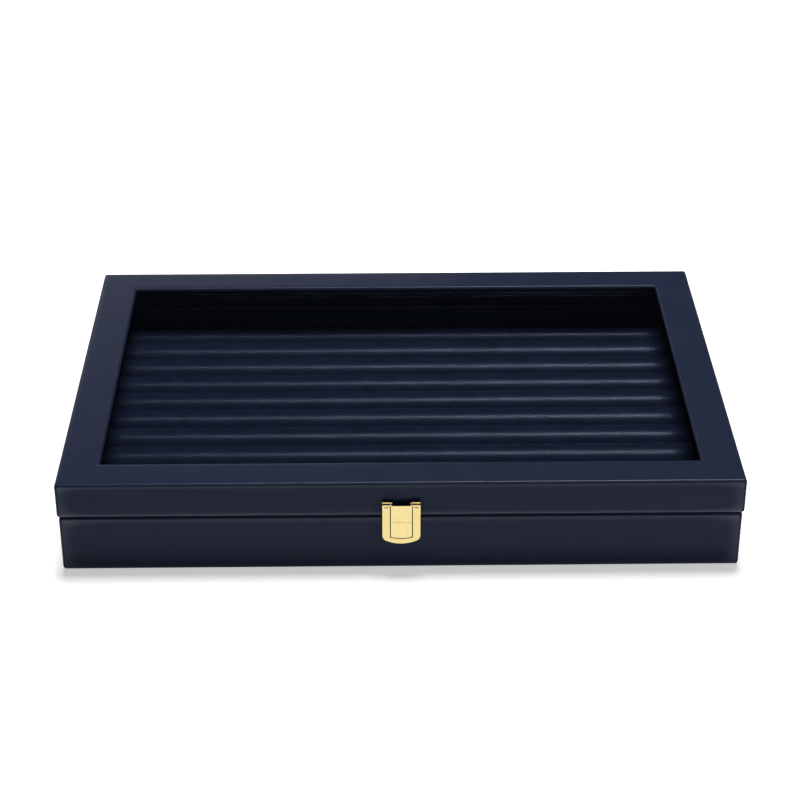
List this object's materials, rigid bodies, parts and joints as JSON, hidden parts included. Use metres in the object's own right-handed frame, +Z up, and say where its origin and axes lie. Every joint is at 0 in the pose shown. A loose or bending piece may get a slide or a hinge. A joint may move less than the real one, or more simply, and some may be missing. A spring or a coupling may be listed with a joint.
{
  "type": "glazed jewelry case",
  "caption": "Flat leatherette jewelry case with a hinged glass-windowed lid, a gold front catch and soft ring rolls inside.",
  "frame": {"origin": "centre of the base's outline on the underside of the felt, on the surface that the case stands on", "axes": "+X to the right along the width, +Y from the front catch to the back hinges, +Z up"},
  "size_m": [0.35, 0.2482, 0.0519],
  "materials": {
    "leatherette": "fine-grained navy leatherette with a soft sheen",
    "board": "raw fibreboard",
    "lining": "card covered in dark navy microfibre",
    "microfibre": "smooth navy microfibre over foam",
    "felt": "pressed felt",
    "glass": "clear float glass",
    "gold_metal": "polished gold plating"
  },
  "bodies": {
    "base": {"base_cover": "leatherette", "base_front_wall": "board", "base_back_wall": "board", "base_left_wall": "board", "base_right_wall": "board", "base_floor": "board", "base_front_lining": "lining", "base_back_lining": "lining", "base_left_lining": "lining", "base_right_lining": "lining", "ring_roll_01": "microfibre", "ring_roll_02": "microfibre", "ring_roll_03": "microfibre", "ring_roll_04": "microfibre", "ring_roll_05": "microfibre", "ring_roll_06": "microfibre", "ring_roll_07": "microfibre", "ring_roll_08": "microfibre", "ring_roll_09": "microfibre", "ring_roll_10": "microfibre", "ring_roll_11": "microfibre", "floor_pad": "microfibre", "base_felt": "felt", "left_hinge_base_leaf": "gold_metal", "left_hinge_pin": "gold_metal", "right_hinge_base_leaf": "gold_metal", "right_hinge_pin": "gold_metal", "base_hinge_screws": "gold_metal", "catch_keeper": "gold_metal"},
    "lid": {"lid_cover": "leatherette", "lid_frame": "board", "lid_front_wall": "board", "lid_back_wall": "board", "lid_left_wall": "board", "lid_right_wall": "board", "lid_front_lining": "lining", "lid_back_lining": "lining", "lid_left_lining": "lining", "lid_right_lining": "lining", "left_hinge_lid_leaf": "gold_metal", "right_hinge_lid_leaf": "gold_metal", "lid_hinge_screws": "gold_metal", "glass_pane": "glass", "catch_bracket": "gold_metal", "catch_pivots": "gold_metal"},
    "bail": {"catch_bail": "gold_metal"}
  },
  "joints": [
    {"name": "lid_hinge", "type": "hinge", "parent": "base", "child": "lid", "pos_m": [0, 0.12255, 0.032], "axis": [-1, 0, 0], "range_deg": [0, 100]},
    {"name": "bail_swing", "type": "hinge", "parent": "lid", "child": "bail", "pos_m": [0, -0.1219, 0.0404], "axis": [-1, 0, 0], "range_deg": [0, 170]}
  ]
}
